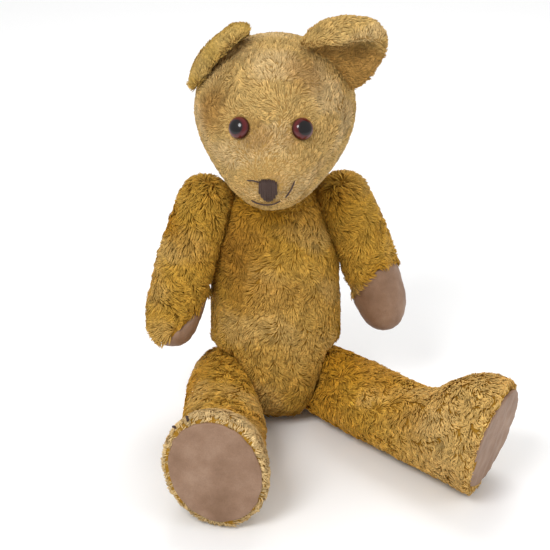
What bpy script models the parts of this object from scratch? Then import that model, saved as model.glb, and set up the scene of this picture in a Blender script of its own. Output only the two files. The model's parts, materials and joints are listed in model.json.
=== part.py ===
"""A seated, jointed teddy bear of mohair plush, about 0.46 m tall if it stood.

Metres, +Z up. The bear faces -Y and its left side is +X. The origin is the centre of the small flat
that it sits on. The head and each limb turns on a cotter-pin joint: two hardboard discs and two steel
washers that a split pin clamps together through the plush of both pieces.
"""

from math import cos, exp, pi, radians, sin, sqrt

import bmesh
import bpy
from mathutils import Matrix, Vector

# ---------------------------------------------------------------- driving dimensions
GAP = 0.0003               # between pieces that touch
SKIN = 0.0024              # plush backing and matted pile
CORE_INSET = 0.0036        # from the outside of the plush to the stuffing
PAD = 0.0016               # leathercloth of the pads
INSOLE = 0.0020            # card stiffener behind each foot pad

TORSO_HEIGHT = 0.189
TORSO_WIDTH = 0.102
TORSO_DEPTH = 0.092
TORSO_LEAN = radians(5)    # backwards

HEAD_WIDTH = 0.118
HEAD_HEIGHT = 0.125
HEAD_DEPTH = 0.116
HEAD_TURN = radians(-7)    # the face looks to the bear's right
HEAD_NOD = radians(9)      # nose down
HEAD_RISE = 0.055          # from the neck joint to the centre of the head
HEAD_FORWARD = 0.004
JAW_TAPER = 0.16           # how much narrower the head is low down than high up
MUZZLE_LENGTH = 0.026      # beyond the round of the head
MUZZLE_SPREAD = radians(30)
MUZZLE_DROP = radians(15)  # below the head's own horizontal

EYE_TURN = radians(21.5)   # each eye is this far from straight ahead
EYE_RISE = radians(19)
EYE_RADIUS = 0.0080
NOSE_RISE = radians(-8.5)
NOSE_THICKNESS = 0.0016
NOSE_FACING = (0, -1, -0.25)     # in the head's own frame
NOSE_OUTLINE = (
    (-0.0052, 0.0080),
    (0.0052, 0.0080),
    (0.0064, 0.0020),
    (0.0056, -0.0060),
    (0.0022, -0.0095),
    (-0.0022, -0.0095),
    (-0.0056, -0.0060),
    (-0.0064, 0.0020),
)
# The mouth thread's turn to the bear's left and rise on the face, in degrees
MOUTH_ROUTE = ((-10, -15.5), (-5, -19), (0, -20.5), (6, -20), (12, -17), (17, -12), (19.5, -7))
HEAD_RING = 24
HEAD_ROWS = 16
HEAD_CORE_ROWS = 10

EAR_THICKNESS = 0.0052
EAR_EDGE = 0.35            # share of the thickness that is left at the edges
EAR_ROUNDING = 2.6         # how soon the full thickness is reached
EAR_SWELL = 0.16           # how far the fold bellies out beyond its three lines
EAR_ROOT = 0.93            # the seam is sunk this near to the head's centre
# Each ear in sections from one end of its seam to the other, in the head's own frame:
# where it is sewn on, the crest of its fold, and its free edge.
LEFT_EAR = (
    ((0.017, -0.004, 0.058), (0.020, -0.006, 0.062), (0.021, -0.010, 0.061)),
    ((0.028, -0.005, 0.053), (0.031, -0.004, 0.073), (0.031, -0.016, 0.065)),
    ((0.039, -0.006, 0.044), (0.049, -0.004, 0.079), (0.045, -0.021, 0.068)),
    ((0.048, -0.008, 0.037), (0.068, -0.007, 0.074), (0.064, -0.020, 0.072)),
    ((0.054, -0.009, 0.032), (0.070, -0.011, 0.056), (0.075, -0.015, 0.062)),
    ((0.058, -0.010, 0.029), (0.062, -0.012, 0.034), (0.066, -0.014, 0.039)),
)
RIGHT_EAR = (
    ((-0.059, 0.004, 0.018), (-0.060, 0.000, 0.024), (-0.057, -0.006, 0.024)),
    ((-0.053, 0.008, 0.025), (-0.057, 0.003, 0.035), (-0.050, -0.012, 0.036)),
    ((-0.045, 0.012, 0.034), (-0.048, 0.004, 0.050), (-0.041, -0.015, 0.050)),
    ((-0.035, 0.013, 0.045), (-0.038, 0.005, 0.060), (-0.031, -0.014, 0.061)),
    ((-0.027, 0.012, 0.055), (-0.028, 0.006, 0.067), (-0.023, -0.009, 0.067)),
    ((-0.021, 0.008, 0.062), (-0.020, 0.005, 0.069), (-0.018, -0.002, 0.068)),
)

NECK = Vector((0, 0.014, 0.1868))
NECK_TILT = radians(9)     # forwards

SHOULDER = Vector((0.0385, 0.012, 0.1585))
SHOULDER_SLOPE = radians(19.5)   # the joint plane faces this far above the horizontal
SHOULDER_YAW = radians(-6)       # and this far forwards
ARM_REACH = 0.0165         # from the joint plane to the arm's centre line
ARM_SWING = {1: radians(-7), -1: radians(10)}   # left and right, forward of straight down

HIP = {1: Vector((0.0240, -0.0170, 0.0335)), -1: Vector((-0.0240, -0.0100, 0.0335))}
HIP_SLOPE = radians(-18)   # the joint plane faces this far below the horizontal
LEG_REACH = 0.016
LEG_SPLAY = {1: radians(39), -1: radians(4)}    # left and right, from straight ahead
LEG_FLARE = {1: radians(19), -1: radians(12)}   # between the leg and its joint plane, from above
TOE_LEAN = radians(12)     # the toes lean outwards

# Cotter-pin joints
CLOTH_GAP = 0.0006         # between the two skins that a joint clamps
DISC = 0.0030
WASHER = 0.0010
WASHER_RADIUS = 0.0065
NECK_DISC_RADIUS = 0.0190
SHOULDER_DISC_RADIUS = 0.0115
HIP_DISC_RADIUS = 0.0130
PIN_WIRE = 0.0007          # radius of the split pin's wire
PIN_SPLIT = 0.0009         # from the pin's axis to each of its two legs
PIN_EYE = 0.0032
PIN_CURL = 0.0024
PIN_HOLE = 0.0022
PIN_END = 0.0160           # how deep the pin reaches into each side, with room around it
HIP_BITE = 0.0335          # the torso is hollowed this far around each hip for the thigh to turn in
HIP_BITE_RUN = 0.06        # and the hollow runs on this far forwards and down

# Stations of a torso or limb: place along it, half width, half depth, offset to the front.
# The torso's first three are shares of its height, width and depth.
TORSO_STATIONS = (
    (-0.040, 0.10, 0.10, 0.000),
    (0.000, 0.40, 0.42, 0.000),
    (0.070, 0.70, 0.80, 0.003),
    (0.180, 0.90, 0.97, 0.004),
    (0.350, 1.00, 1.01, 0.003),
    (0.550, 0.98, 0.96, 0.002),
    (0.750, 0.96, 0.88, 0.001),
    (0.900, 0.86, 0.76, 0.000),
    (1.020, 0.58, 0.56, 0.000),
    (1.100, 0.20, 0.20, 0.000),
)
ARM_STATIONS = (
    (-0.0260, 0.0060, 0.0070, 0.0000),
    (-0.0225, 0.0140, 0.0160, 0.0000),
    (-0.0120, 0.0195, 0.0235, 0.0000),
    (0.0100, 0.0215, 0.0262, 0.0005),
    (0.0350, 0.0225, 0.0268, 0.0015),
    (0.0600, 0.0222, 0.0262, 0.0045),
    (0.0800, 0.0208, 0.0245, 0.0080),
    (0.0930, 0.0178, 0.0208, 0.0110),
    (0.1010, 0.0120, 0.0140, 0.0130),
    (0.1040, 0.0050, 0.0060, 0.0135),
)
LEG_STATIONS = (
    (-0.0285, 0.0080, 0.0090, 0.0000),
    (-0.0250, 0.0170, 0.0180, 0.0000),
    (-0.0130, 0.0250, 0.0255, 0.0000),
    (0.0150, 0.0300, 0.0275, 0.0000),
    (0.0500, 0.0315, 0.0275, 0.0000),
    (0.0850, 0.0315, 0.0272, 0.0002),
    (0.1080, 0.0315, 0.0305, 0.0032),
    (0.1250, 0.0335, 0.0378, 0.0105),
    (0.1420, 0.0362, 0.0432, 0.0158),
    (0.1600, 0.0368, 0.0450, 0.0172),
    (0.2120, 0.0362, 0.0445, 0.0172),
)
SOLE = {1: 0.1640, -1: 0.1560}                  # where the foot pad closes the leg
SOLE_TURN = {1: radians(26), -1: radians(10)}   # the sole faces this far outwards from the leg
SOLE_DROP = {1: radians(13), -1: radians(-2)}   # and this far downwards
PAW_CUT = {1: 0.0450, -1: 0.0510}    # left and right: how far down the arm its pad starts
PAW_CUT_TILT = {1: radians(44), -1: radians(62)}    # from square across the arm to along it
PAW_TURN = {1: radians(-35), -1: radians(80)}       # from the arm's front to its inside
PAW_START_RADIUS = 0.0245  # of the arm where the pad starts

EYE_DOME = 0.0050          # how far an eye stands out of the plush
EYE_BACK = 0.0008          # how far its flat back is sunk in
EYE_LIFT = 0.0006
SHANK_HOLE = 0.0022
SHANK_DEPTH = 0.0120
SHANK_WIRE = 0.0005
SHANK_NECK = 0.0008        # from the loop's middle to each of its two wires
SHANK_LOOP = 0.0018
THREAD = 0.0007            # radius of the mouth, claw and closing threads
THREAD_RISE = 0.0014       # from the plush to the middle of a thread
CLAW_ALONG = (0.1455, 0.1500, 0.1545)         # places along the leg that a claw stitch passes
CLAW_ANGLES = (radians(15), radians(34))      # from over the toes to the bear's right

RING = 18                  # points around a skin
CORE_RING = 16             # points around a stuffing
REACH = 0.1                # of a cutter that has to pass right through
CUT_DEPTH = 0.02           # of a cutter that only has to pass a skin
UP = Vector((0, 0, 1))


# ---------------------------------------------------------------- frames
def frame(origin, along, up_hint):
    """A matrix whose Z runs along the piece, whose Y is towards up_hint and whose X is across."""
    z = along.normalized()
    x = up_hint.cross(z).normalized()
    y = z.cross(x)
    rotation = Matrix((x, y, z)).transposed().to_4x4()
    return Matrix.Translation(origin) @ rotation


def joint_normal(side, slope, yaw):
    """Out of the torso on one side, tipped up by slope and turned backwards by yaw."""
    return Vector((side * cos(slope) * cos(yaw), cos(slope) * sin(yaw), sin(slope)))


def mirrored(point, side):
    return Vector((side * point.x, point.y, point.z))


# ---------------------------------------------------------------- meshes
def new_object(name, bm, location=Vector((0, 0, 0))):
    """An object with its origin at location, from a bmesh in world metres."""
    bmesh.ops.translate(bm, verts=bm.verts, vec=-location)
    bmesh.ops.recalc_face_normals(bm, faces=bm.faces)
    mesh = bpy.data.meshes.new(name)
    bm.to_mesh(mesh)
    bm.free()
    mesh.shade_smooth()
    mesh.set_sharp_from_angle(angle=radians(40))
    obj = bpy.data.objects.new(name, mesh)
    obj.location = location
    bpy.context.collection.objects.link(obj)
    return obj


def carve(obj, cutter_mesh, operation="DIFFERENCE"):
    """Cuts, joins or intersects an object with a bmesh in world metres, and keeps the result."""
    cutter = new_object("cutter", cutter_mesh)
    boolean = obj.modifiers.new("carve", "BOOLEAN")
    boolean.object = cutter
    boolean.operation = operation
    bpy.context.view_layer.update()
    graph = bpy.context.evaluated_depsgraph_get()
    carved = bpy.data.meshes.new_from_object(obj.evaluated_get(graph))
    obj.modifiers.clear()
    obj.data = carved
    bpy.data.objects.remove(cutter)


def smooth_stations(stations, steps):
    """Catmull-Rom values between the stations."""
    rows = [Vector(row) for row in stations]
    result = []
    for i in range(len(rows) - 1):
        before = rows[max(i - 1, 0)]
        after = rows[min(i + 2, len(rows) - 1)]
        for step in range(steps):
            t = step / steps
            a, b = rows[i], rows[i + 1]
            slope_a = (b - before) / 2
            slope_b = (after - a) / 2
            h = 3 * t * t - 2 * t * t * t
            value = a * (1 - h) + b * h
            value += slope_a * (t * (1 - t) ** 2) - slope_b * (t * t * (1 - t))
            result.append(value)
    result.append(rows[-1])
    return result


def inset_stations(stations, inset):
    """The stations of the surface that lies this far inside."""
    first, last = stations[0][0], stations[-1][0]
    middle = (first + last) / 2
    shrink = (last - first - 2 * inset) / (last - first)
    return [
        (middle + (s - middle) * shrink, w - inset, d - inset, offset) for s, w, d, offset in stations
    ]


def loft(stations, place, ring, steps=2):
    """A closed tube of oval rings along local Z. Offsets are towards local Y."""
    bm = bmesh.new()
    rings = []
    for s, w, d, offset in smooth_stations(stations, steps):
        turns = [2 * pi * (k + 0.5) / ring for k in range(ring)]
        points = [place @ Vector((w * cos(t), offset + d * sin(t), s)) for t in turns]
        rings.append([bm.verts.new(point) for point in points])
    bridge(bm, rings)
    cap(bm, rings)
    return bm


def cut_flat(bm, point, normal):
    """Takes off what lies beyond a plane and closes the cut with a flat face."""
    everything = list(bm.verts) + list(bm.edges) + list(bm.faces)
    cut = bmesh.ops.bisect_plane(
        bm, geom=everything, dist=1e-6, plane_co=point, plane_no=normal, clear_outer=True
    )
    edges = [item for item in cut["geom_cut"] if isinstance(item, bmesh.types.BMEdge)]
    bmesh.ops.contextual_create(bm, geom=edges)
    return bm


def prism(outline, place, low, high):
    """A closed prism: an outline in local XY from local Z low to high."""
    bm = bmesh.new()
    bottom = [bm.verts.new(place @ Vector((x, y, low))) for x, y in outline]
    top = [bm.verts.new(place @ Vector((x, y, high))) for x, y in outline]
    bridge(bm, [bottom, top])
    cap(bm, [bottom, top])
    return bm


def slab(place, low, high):
    """A wide square slab across local Z."""
    corners = [(-REACH, -REACH), (REACH, -REACH), (REACH, REACH), (-REACH, REACH)]
    return prism(corners, place, low, high)


def circle(radius, count=20):
    return [(radius * cos(2 * pi * k / count), radius * sin(2 * pi * k / count)) for k in range(count)]


def swept_outline(radius, length, down, count=28):
    """A circle about the origin, stretched towards +Y and towards the side that down names."""
    points = []
    for x, y in circle(radius, count):
        points.append((x + (down * length if x * down > 0 else 0), y + (length if y > 0 else 0)))
    return points


def bridge(bm, loops):
    """Joins each loop of vertices to the next with quads."""
    for a, b in zip(loops, loops[1:]):
        for k in range(len(a)):
            after = (k + 1) % len(a)
            bm.faces.new((a[k], a[after], b[after], b[k]))


def cap(bm, loops):
    bm.faces.new(loops[0])
    bm.faces.new(loops[-1])
    bmesh.ops.recalc_face_normals(bm, faces=bm.faces)


def turned(place, rows, sides, with_hole):
    """A shape turned about local Z from rows of (radius, height)."""
    bm = bmesh.new()
    loops = []
    for r, z in rows:
        loops.append([bm.verts.new(place @ Vector((x, y, z))) for x, y in circle(r, sides)])
    if with_hole:
        bridge(bm, loops + loops[:1])
    else:
        bridge(bm, loops)
        cap(bm, loops)
    return bm


def ring_plate(name, place, radius, low, high, sides):
    """A flat washer or disc about local Z, with the hole that the pin passes."""
    rows = [(radius, low), (radius, high), (PIN_HOLE, high), (PIN_HOLE, low)]
    return new_object(name, turned(place, rows, sides, True), place.translation)


def tube(points, radius, sides):
    """A closed round wire through points."""
    bm = bmesh.new()
    rings = []
    side = None
    for i, point in enumerate(points):
        ahead = (points[min(i + 1, len(points) - 1)] - points[max(i - 1, 0)]).normalized()
        if side is None:
            side = ahead.orthogonal().normalized()
        side = (side - ahead * side.dot(ahead)).normalized()
        other = ahead.cross(side)
        turns = [2 * pi * k / sides for k in range(sides)]
        rings.append([bm.verts.new(point + (side * cos(t) + other * sin(t)) * radius) for t in turns])
    bridge(bm, rings)
    cap(bm, rings)
    return bm


def arc(centre, radius, start, stop, count):
    """Points of an arc in a plane, as (across, along)."""
    turns = [start + (stop - start) * k / count for k in range(count + 1)]
    return [(centre[0] + radius * cos(t), centre[1] + radius * sin(t)) for t in turns]


# ---------------------------------------------------------------- materials
def coloured(obj, colour, roughness, metallic=0.0):
    material = bpy.data.materials.new(obj.name)
    material.use_nodes = True
    shader = material.node_tree.nodes["Principled BSDF"]
    shader.inputs["Base Color"].default_value = (*colour, 1)
    shader.inputs["Roughness"].default_value = roughness
    shader.inputs["Metallic"].default_value = metallic
    obj.data.materials.clear()
    obj.data.materials.append(material)


GOLDEN_PLUSH = (0.44, 0.27, 0.075)
FADED_PLUSH = (0.52, 0.36, 0.14)
LEATHERCLOTH = (0.32, 0.20, 0.12)
WOOD_WOOL = (0.60, 0.46, 0.25)
HARDBOARD = (0.30, 0.17, 0.08)
STEEL = (0.45, 0.45, 0.44)
CARD = (0.45, 0.36, 0.24)
RED_GLASS = (0.12, 0.006, 0.006)
BROWN_THREAD = (0.07, 0.04, 0.03)


# ---------------------------------------------------------------- cotter-pin joints
def clear_of_joint(bm, place, inset):
    """Cuts a limb flat where it meets the joint plane. Local Z of place points at the limb."""
    normal = place.to_3x3() @ UP
    return cut_flat(bm, place.translation + normal * (CLOTH_GAP / 2 + inset), -normal)


def pin_hole(place):
    return prism(circle(PIN_HOLE, 12), place, -CUT_DEPTH, CUT_DEPTH)


def joint_pocket(place, disc_radius, direction):
    """Room in a stuffing for one side of a joint: direction 1 is the limb, -1 is the torso."""
    low, high = sorted((0, direction * (CLOTH_GAP / 2 + SKIN + DISC + WASHER + 4 * GAP)))
    return prism(circle(disc_radius + 2 * GAP), place, low, high)


def pin_room(place):
    return prism(circle(WASHER_RADIUS, 12), place, -PIN_END, PIN_END)


def split_pin(name, place):
    """One wire: a curl, one leg up to the eye, round it, and the other leg down to the other curl."""
    seat = CLOTH_GAP / 2 + SKIN + DISC + WASHER + 3 * GAP
    eye_centre = seat + sqrt((PIN_EYE + PIN_WIRE) ** 2 - PIN_HOLE**2)
    leg_top = eye_centre - sqrt(PIN_EYE**2 - PIN_SPLIT**2)
    opening = pi / 2 - 0.29
    curl_centre = (PIN_SPLIT + PIN_CURL, -seat - PIN_WIRE - GAP)
    half = arc((0, eye_centre), PIN_EYE, pi / 2, -opening, 5)
    half += [(PIN_SPLIT, leg_top * 0.4), (PIN_SPLIT, curl_centre[1] * 0.7)]
    half += arc(curl_centre, PIN_CURL, pi, 2 * pi - 0.3, 5)
    other = [(-x, z) for x, z in half[1:]]
    outline = list(reversed(half)) + other
    points = [place @ Vector((x, 0, z)) for x, z in outline]
    return new_object(name, tube(points, PIN_WIRE, 5), place.translation)


def joint_hardware(name, limb, place, disc_radius):
    """Disc and washer on each side of a joint, and the split pin through them."""
    inner = CLOTH_GAP / 2 + SKIN + GAP
    for owner, direction in ((limb, 1), ("body", -1)):
        low, high = sorted((direction * inner, direction * (inner + DISC)))
        disc = ring_plate(f"{name}_{owner}_disc", place, disc_radius, low, high, 16)
        coloured(disc, HARDBOARD, 0.8)
        start = inner + DISC + GAP
        low, high = sorted((direction * start, direction * (start + WASHER)))
        washer = ring_plate(f"{name}_{owner}_washer", place, WASHER_RADIUS - GAP, low, high, 12)
        coloured(washer, STEEL, 0.35, 1.0)
    coloured(split_pin(f"{name}_cotter_pin", place), STEEL, 0.35, 1.0)


# ---------------------------------------------------------------- torso
def neck_place():
    return frame(NECK, Vector((0, -sin(NECK_TILT), cos(NECK_TILT))), Vector((0, 1, 0)))


def shoulder_place(side):
    normal = joint_normal(side, SHOULDER_SLOPE, SHOULDER_YAW)
    return frame(mirrored(SHOULDER, side), normal, UP)


def leg_direction(side):
    return Vector((side * sin(LEG_SPLAY[side]), -cos(LEG_SPLAY[side]), 0))


def hip_place(side):
    """Local Y of the hip joint points along the leg."""
    normal = joint_normal(side, HIP_SLOPE, LEG_SPLAY[side] - LEG_FLARE[side])
    return frame(HIP[side], normal, leg_direction(side))


def hip_bite(side, inset):
    """The room beside the torso that the top of a thigh turns in."""
    outline = swept_outline(HIP_BITE + inset, HIP_BITE_RUN, -side)
    return prism(outline, hip_place(side), -CLOTH_GAP / 2 - inset, REACH)


def torso_solid(name, inset, ring, steps=2):
    """The torso's surface this far inside, with its flats and the hollows for the thighs."""
    stations = [
        (s * TORSO_HEIGHT, w * TORSO_WIDTH / 2, d * TORSO_DEPTH / 2, offset)
        for s, w, d, offset in TORSO_STATIONS
    ]
    along = Vector((0, sin(TORSO_LEAN), cos(TORSO_LEAN)))
    place = frame(Vector((0, 0, 0)), along, Vector((0, -1, 0)))
    bm = loft(inset_stations(stations, inset), place, ring, steps)
    cut_flat(bm, UP * inset, -UP)
    for joint in (neck_place(), shoulder_place(1), shoulder_place(-1)):
        normal = joint.to_3x3() @ UP
        cut_flat(bm, joint.translation - normal * (CLOTH_GAP / 2 + inset), normal)
    torso = new_object(name, bm)
    for side in (1, -1):
        carve(torso, hip_bite(side, inset))
    return torso


def mesh_of(obj):
    """The world-space bmesh of an object, which is then removed."""
    bm = bmesh.new()
    bm.from_mesh(obj.data)
    bmesh.ops.transform(bm, matrix=obj.matrix_world, verts=bm.verts)
    bpy.data.objects.remove(obj)
    return bm


def torso_joints():
    return (
        (neck_place(), NECK_DISC_RADIUS),
        (shoulder_place(1), SHOULDER_DISC_RADIUS),
        (shoulder_place(-1), SHOULDER_DISC_RADIUS),
        (hip_place(1), HIP_DISC_RADIUS),
        (hip_place(-1), HIP_DISC_RADIUS),
    )


def build_torso():
    skin = torso_solid("body_skin", 0, RING)
    carve(skin, mesh_of(torso_solid("body_inside", SKIN, RING)))
    stuffing = torso_solid("body_stuffing", CORE_INSET, CORE_RING, 1)
    for place, disc_radius in torso_joints():
        carve(skin, pin_hole(place))
        carve(stuffing, joint_pocket(place, disc_radius, -1))
        carve(stuffing, pin_room(place))
    coloured(skin, GOLDEN_PLUSH, 0.95)
    coloured(stuffing, WOOD_WOOL, 0.9)


# ---------------------------------------------------------------- limbs
def build_limb(prefix, kind, stations, place, joint, disc_radius, padded_end):
    """Skin and stuffing of a limb. padded_end is a bmesh of the part that its pad closes."""
    skin = new_object(f"{prefix}_{kind}_skin", clear_of_joint(loft(stations, place, RING), joint, 0))
    inside = loft(inset_stations(stations, SKIN), place, CORE_RING, 1)
    carve(skin, clear_of_joint(inside, joint, SKIN))
    carve(skin, pin_hole(joint))
    carve(skin, padded_end)
    core = loft(inset_stations(stations, CORE_INSET), place, CORE_RING, 1)
    stuffing = new_object(f"{prefix}_{kind}_stuffing", clear_of_joint(core, joint, CORE_INSET))
    carve(stuffing, joint_pocket(joint, disc_radius, 1))
    carve(stuffing, pin_room(joint))
    coloured(skin, GOLDEN_PLUSH, 0.95)
    coloured(stuffing, WOOD_WOOL, 0.9)
    return stuffing


def arm_place(side):
    """Local Z runs down the arm, local Y points forwards."""
    joint = shoulder_place(side)
    normal = joint.to_3x3() @ UP
    ahead = Vector((0, -1, 0))
    down = (normal.cross(ahead) * side).normalized()
    ahead = (down.cross(normal) * side).normalized()
    if down.z > 0:
        down.negate()
    swung = down * cos(ARM_SWING[side]) + ahead * sin(ARM_SWING[side])
    ahead = ahead * cos(ARM_SWING[side]) - down * sin(ARM_SWING[side])
    return frame(joint.translation + normal * ARM_REACH, swung, ahead)


def paw_region(side, shift):
    """The half-space, as a big box, of the arm that its paw pad covers."""
    place = arm_place(side)
    inward = place.to_3x3().inverted() @ (shoulder_place(side).to_3x3() @ -UP)
    across = Vector((inward.x, 0, 0)).normalized()
    out = Vector((0, 1, 0)) * cos(PAW_TURN[side]) + across * sin(PAW_TURN[side])
    facing = out * sin(PAW_CUT_TILT[side]) + UP * cos(PAW_CUT_TILT[side])
    start = UP * PAW_CUT[side] + out * PAW_START_RADIUS
    box = frame(place @ (start + facing * shift), place.to_3x3() @ facing, place.to_3x3() @ across)
    return slab(box, 0, 2 * REACH)


def build_arm(prefix, side):
    place, joint = arm_place(side), shoulder_place(side)
    build_limb(prefix, "arm", ARM_STATIONS, place, joint, SHOULDER_DISC_RADIUS, paw_region(side, 0))
    pad = new_object(f"{prefix}_paw_pad", loft(ARM_STATIONS, place, RING))
    carve(pad, loft(inset_stations(ARM_STATIONS, PAD), place, RING))
    carve(pad, paw_region(side, GAP), "INTERSECT")
    coloured(pad, LEATHERCLOTH, 0.6)
    joint_hardware(f"{prefix}_shoulder", "arm", joint, SHOULDER_DISC_RADIUS)


def leg_place(side):
    """Local Z runs along the leg, local Y points at the toes."""
    joint = hip_place(side)
    normal = joint.to_3x3() @ UP
    outward = Vector((side * cos(LEG_SPLAY[side]), sin(LEG_SPLAY[side]), 0))
    toes = UP * cos(TOE_LEAN) + outward * sin(TOE_LEAN)
    return frame(joint.translation + normal * LEG_REACH, leg_direction(side), toes)


def sole_place(side):
    """Local Z points out of the sole."""
    place = leg_place(side)
    outward = Vector((side * cos(LEG_SPLAY[side]), sin(LEG_SPLAY[side]), 0))
    normal = leg_direction(side) * cos(SOLE_TURN[side]) + outward * sin(SOLE_TURN[side])
    normal = normal * cos(SOLE_DROP[side]) - UP * sin(SOLE_DROP[side])
    return frame(place @ Vector((0, 0, SOLE[side])), normal, place.to_3x3() @ Vector((0, 1, 0)))


def build_leg(prefix, side):
    place, joint = leg_place(side), hip_place(side)
    sole = sole_place(side)
    end = slab(sole, 0, REACH)
    stuffing = build_limb(prefix, "leg", LEG_STATIONS, place, joint, HIP_DISC_RADIUS, end)
    carve(stuffing, slab(sole, -INSOLE - GAP, REACH))
    card = loft(inset_stations(LEG_STATIONS, CORE_INSET), place, CORE_RING)
    insole = new_object(f"{prefix}_insole", card)
    carve(insole, slab(sole, -INSOLE, 0), "INTERSECT")
    coloured(insole, CARD, 0.9)
    pad = new_object(f"{prefix}_foot_pad", loft(LEG_STATIONS, place, RING))
    carve(pad, slab(sole, GAP, GAP + PAD), "INTERSECT")
    coloured(pad, LEATHERCLOTH, 0.6)
    joint_hardware(f"{prefix}_hip", "leg", joint, HIP_DISC_RADIUS)


# ---------------------------------------------------------------- head
def head_place():
    """Local Z is up through the head, local -Y is the way that it faces."""
    neck = neck_place()
    axis = neck.to_3x3() @ UP
    centre = neck.translation + axis * HEAD_RISE
    turn = Matrix.Rotation(HEAD_TURN, 4, "Z") @ Matrix.Rotation(HEAD_NOD, 4, "X")
    return Matrix.Translation(centre) @ turn @ Matrix.Translation(Vector((0, -HEAD_FORWARD, 0)))


def head_radius(direction):
    """From the head's centre to its surface: an ellipsoid that grows a muzzle."""
    half_width = HEAD_WIDTH / 2 * (1 + JAW_TAPER * min(direction.z, 0.3))
    ellipsoid = Vector(
        (direction.x / half_width, direction.y / (HEAD_DEPTH / 2), direction.z / (HEAD_HEIGHT / 2))
    )
    muzzle = Vector((0, -cos(MUZZLE_DROP), -sin(MUZZLE_DROP)))
    away = direction.angle(muzzle)
    return 1 / ellipsoid.length + MUZZLE_LENGTH * exp(-((away / MUZZLE_SPREAD) ** 2))


def on_head(turn, rise, out=0.0):
    """A point on the face: turn to the bear's left and rise above the horizontal, in radians."""
    direction = Vector((cos(rise) * sin(turn), -cos(rise) * cos(turn), sin(rise)))
    return head_place() @ (direction * (head_radius(direction) + out))


def head_solid(name, inset, ring, rows):
    place = head_place()
    bm = bmesh.new()
    rings = []
    for i in range(1, rows):
        tilt = pi * i / rows
        ring_points = []
        for k in range(ring):
            turn = 2 * pi * (k + 0.5) / ring
            direction = Vector((sin(tilt) * cos(turn), cos(tilt), sin(tilt) * sin(turn)))
            ring_points.append(bm.verts.new(place @ (direction * (head_radius(direction) - inset))))
        rings.append(ring_points)
    bridge(bm, rings)
    for loop, y in ((rings[0], 1), (rings[-1], -1)):
        pole = Vector((0, y, 0))
        tip = bm.verts.new(place @ (pole * (head_radius(pole) - inset)))
        for k in range(ring):
            bm.faces.new((loop[k], loop[(k + 1) % ring], tip))
    bmesh.ops.recalc_face_normals(bm, faces=bm.faces)
    clear_of_joint(bm, neck_place(), inset)
    return new_object(name, bm)


def head_vector(x, y, z):
    """A direction given in the head's own frame, in world axes."""
    return head_place().to_3x3() @ Vector((x, y, z)).normalized()


def ear_sheet(sections):
    """The middle of an ear's plush: a row of points across the fold for each place along the seam."""
    lines = []
    for section in sections:
        seam, crest, edge = (Vector(point) for point in section)
        seam *= EAR_ROOT
        swell = (edge - seam) * EAR_SWELL
        route = (seam, (seam + crest) / 2 - swell, crest, (crest + edge) / 2 + swell, edge)
        lines.append(smooth_stations(route, 2))
    columns = [smooth_stations(column, 3) for column in zip(*lines)]
    return list(zip(*columns))


def ear_layer(sheet, face):
    """One face of the ear: half the thickness from its middle, thinner towards the edges."""
    last_i, last_j = len(sheet) - 1, len(sheet[0]) - 1
    layer = []
    for i, line in enumerate(sheet):
        points = []
        for j, spot in enumerate(line):
            along = sheet[min(i + 1, last_i)][j] - sheet[max(i - 1, 0)][j]
            across = line[min(j + 1, last_j)] - line[max(j - 1, 0)]
            rim = min(i / last_i, 1 - i / last_i, 1 - j / last_j)
            half = EAR_THICKNESS / 2 * min(1, EAR_EDGE + rim * EAR_ROUNDING)
            points.append(head_place() @ (spot + along.cross(across).normalized() * half * face))
        layer.append(points)
    return layer


def build_ear(name, sections):
    """An ear of two layers of plush, folded over at its crest."""
    sheet = ear_sheet(sections)
    bm = bmesh.new()
    front, back = (
        [[bm.verts.new(point) for point in line] for line in ear_layer(sheet, face)] for face in (1, -1)
    )
    last_i, last_j = len(sheet) - 1, len(sheet[0]) - 1
    for layer in (front, back):
        for i in range(last_i):
            for j in range(last_j):
                corners = (layer[i][j], layer[i + 1][j], layer[i + 1][j + 1], layer[i][j + 1])
                bm.faces.new(corners)
    rim = [(i, 0) for i in range(last_i)] + [(last_i, j) for j in range(last_j)]
    rim += [(i, last_j) for i in range(last_i, 0, -1)] + [(0, j) for j in range(last_j, 0, -1)]
    for (i0, j0), (i1, j1) in zip(rim, rim[1:] + rim[:1]):
        bm.faces.new((front[i0][j0], front[i1][j1], back[i1][j1], back[i0][j0]))
    bmesh.ops.recalc_face_normals(bm, faces=bm.faces)
    ear = new_object(name, bm)
    carve(ear, mesh_of(head_solid("head_outside", -GAP, HEAD_RING, HEAD_ROWS)))
    coloured(ear, FADED_PLUSH, 0.95)


def eye_place(side):
    """Local Z points out of the head at an eye."""
    turn = side * EYE_TURN
    point = on_head(turn, EYE_RISE)
    step = radians(6)
    across = on_head(turn + step, EYE_RISE) - on_head(turn - step, EYE_RISE)
    upward = on_head(turn, EYE_RISE + step) - on_head(turn, EYE_RISE - step)
    outward = across.cross(upward).normalized()
    if outward.dot(point - head_place().translation) < 0:
        outward.negate()
    return frame(point, outward, upward)


def eye_dome(place, seat):
    """The flat-backed glass dome about local Z."""
    rows = [(EYE_RADIUS * 0.86, seat), (EYE_RADIUS, seat + EYE_BACK)]
    for degrees in (12, 34, 56, 76):
        rows.append((EYE_RADIUS * cos(radians(degrees)), EYE_DOME * sin(radians(degrees)) + EYE_LIFT))
    return turned(place, rows, 16, False)


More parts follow.
